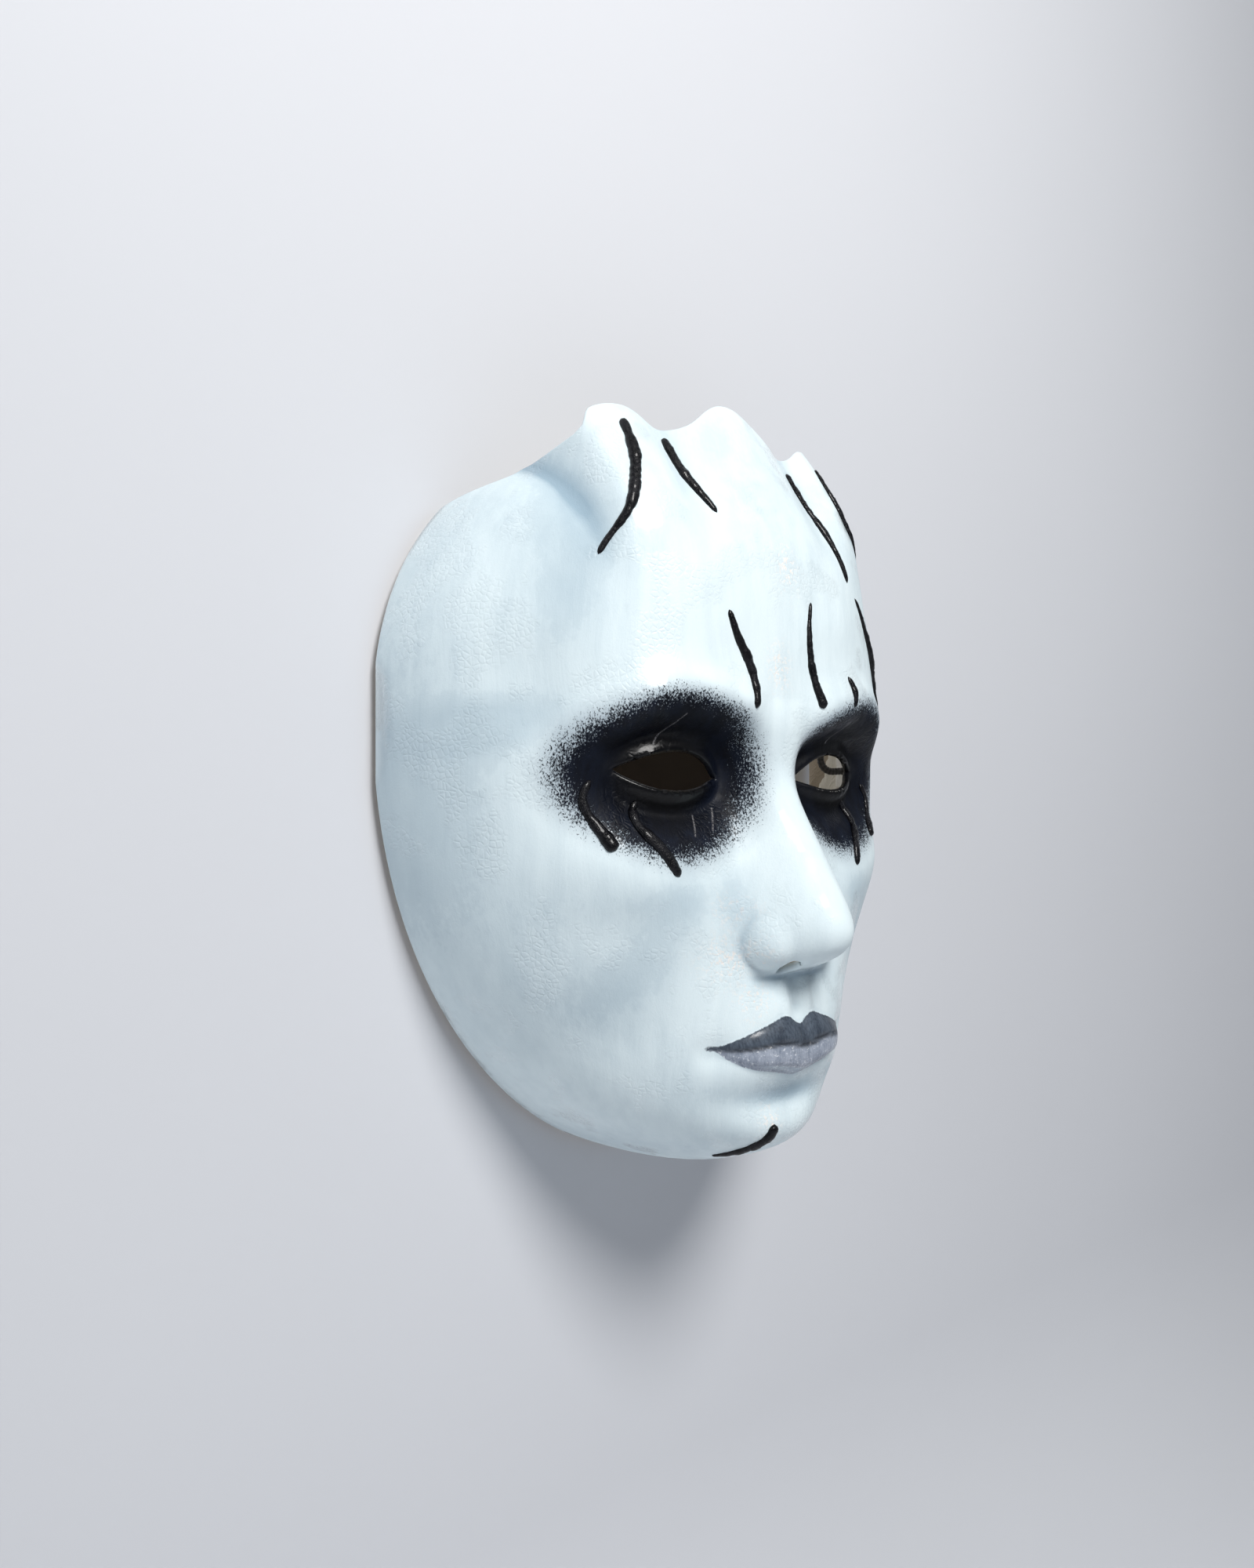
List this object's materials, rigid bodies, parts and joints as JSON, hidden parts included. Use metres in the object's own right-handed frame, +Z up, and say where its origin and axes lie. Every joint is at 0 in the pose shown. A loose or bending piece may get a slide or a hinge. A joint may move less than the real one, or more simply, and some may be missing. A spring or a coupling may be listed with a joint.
{
  "type": "full-face masquerade mask",
  "caption": "Papier-mache full-face masquerade mask with a scalloped crown, open eyes and nostrils, raised paint strokes, a paper lining and tie loops inside the temples.",
  "frame": {"origin": "middle of the flat rim plane that lies on the wearer's face, level with the middle of the head's height", "axes": "+Z up, the face looks along -Y, the wearer's left is +X; the rim lies in the plane y = 0"},
  "size_m": [0.1776, 0.0881, 0.2208],
  "materials": {
    "white_paint": "brushed white acrylic over papier-mache, satin varnish",
    "lining_paper": "matt off-white paper strips",
    "relief_paint": "glossy black raised paint",
    "patch_paper": "glued white paper patch",
    "loop_cord": "black braided cord"
  },
  "bodies": {
    "root": {"mask_shell": "white_paint", "inner_lining": "lining_paper", "crown_stroke_right": "relief_paint", "crown_stroke_left": "relief_paint", "valley_stroke_right": "relief_paint", "valley_stroke_left": "relief_paint", "frown_stroke_right": "relief_paint", "frown_stroke_left": "relief_paint", "temple_stroke_left": "relief_paint", "brow_tick_left": "relief_paint", "outer_drip_right": "relief_paint", "inner_drip_right": "relief_paint", "outer_drip_left": "relief_paint", "inner_drip_left": "relief_paint", "chin_stroke": "relief_paint", "tie_patch_right": "patch_paper", "tie_patch_left": "patch_paper", "tie_loop_right": "loop_cord", "tie_loop_left": "loop_cord"}
  },
  "joints": []
}
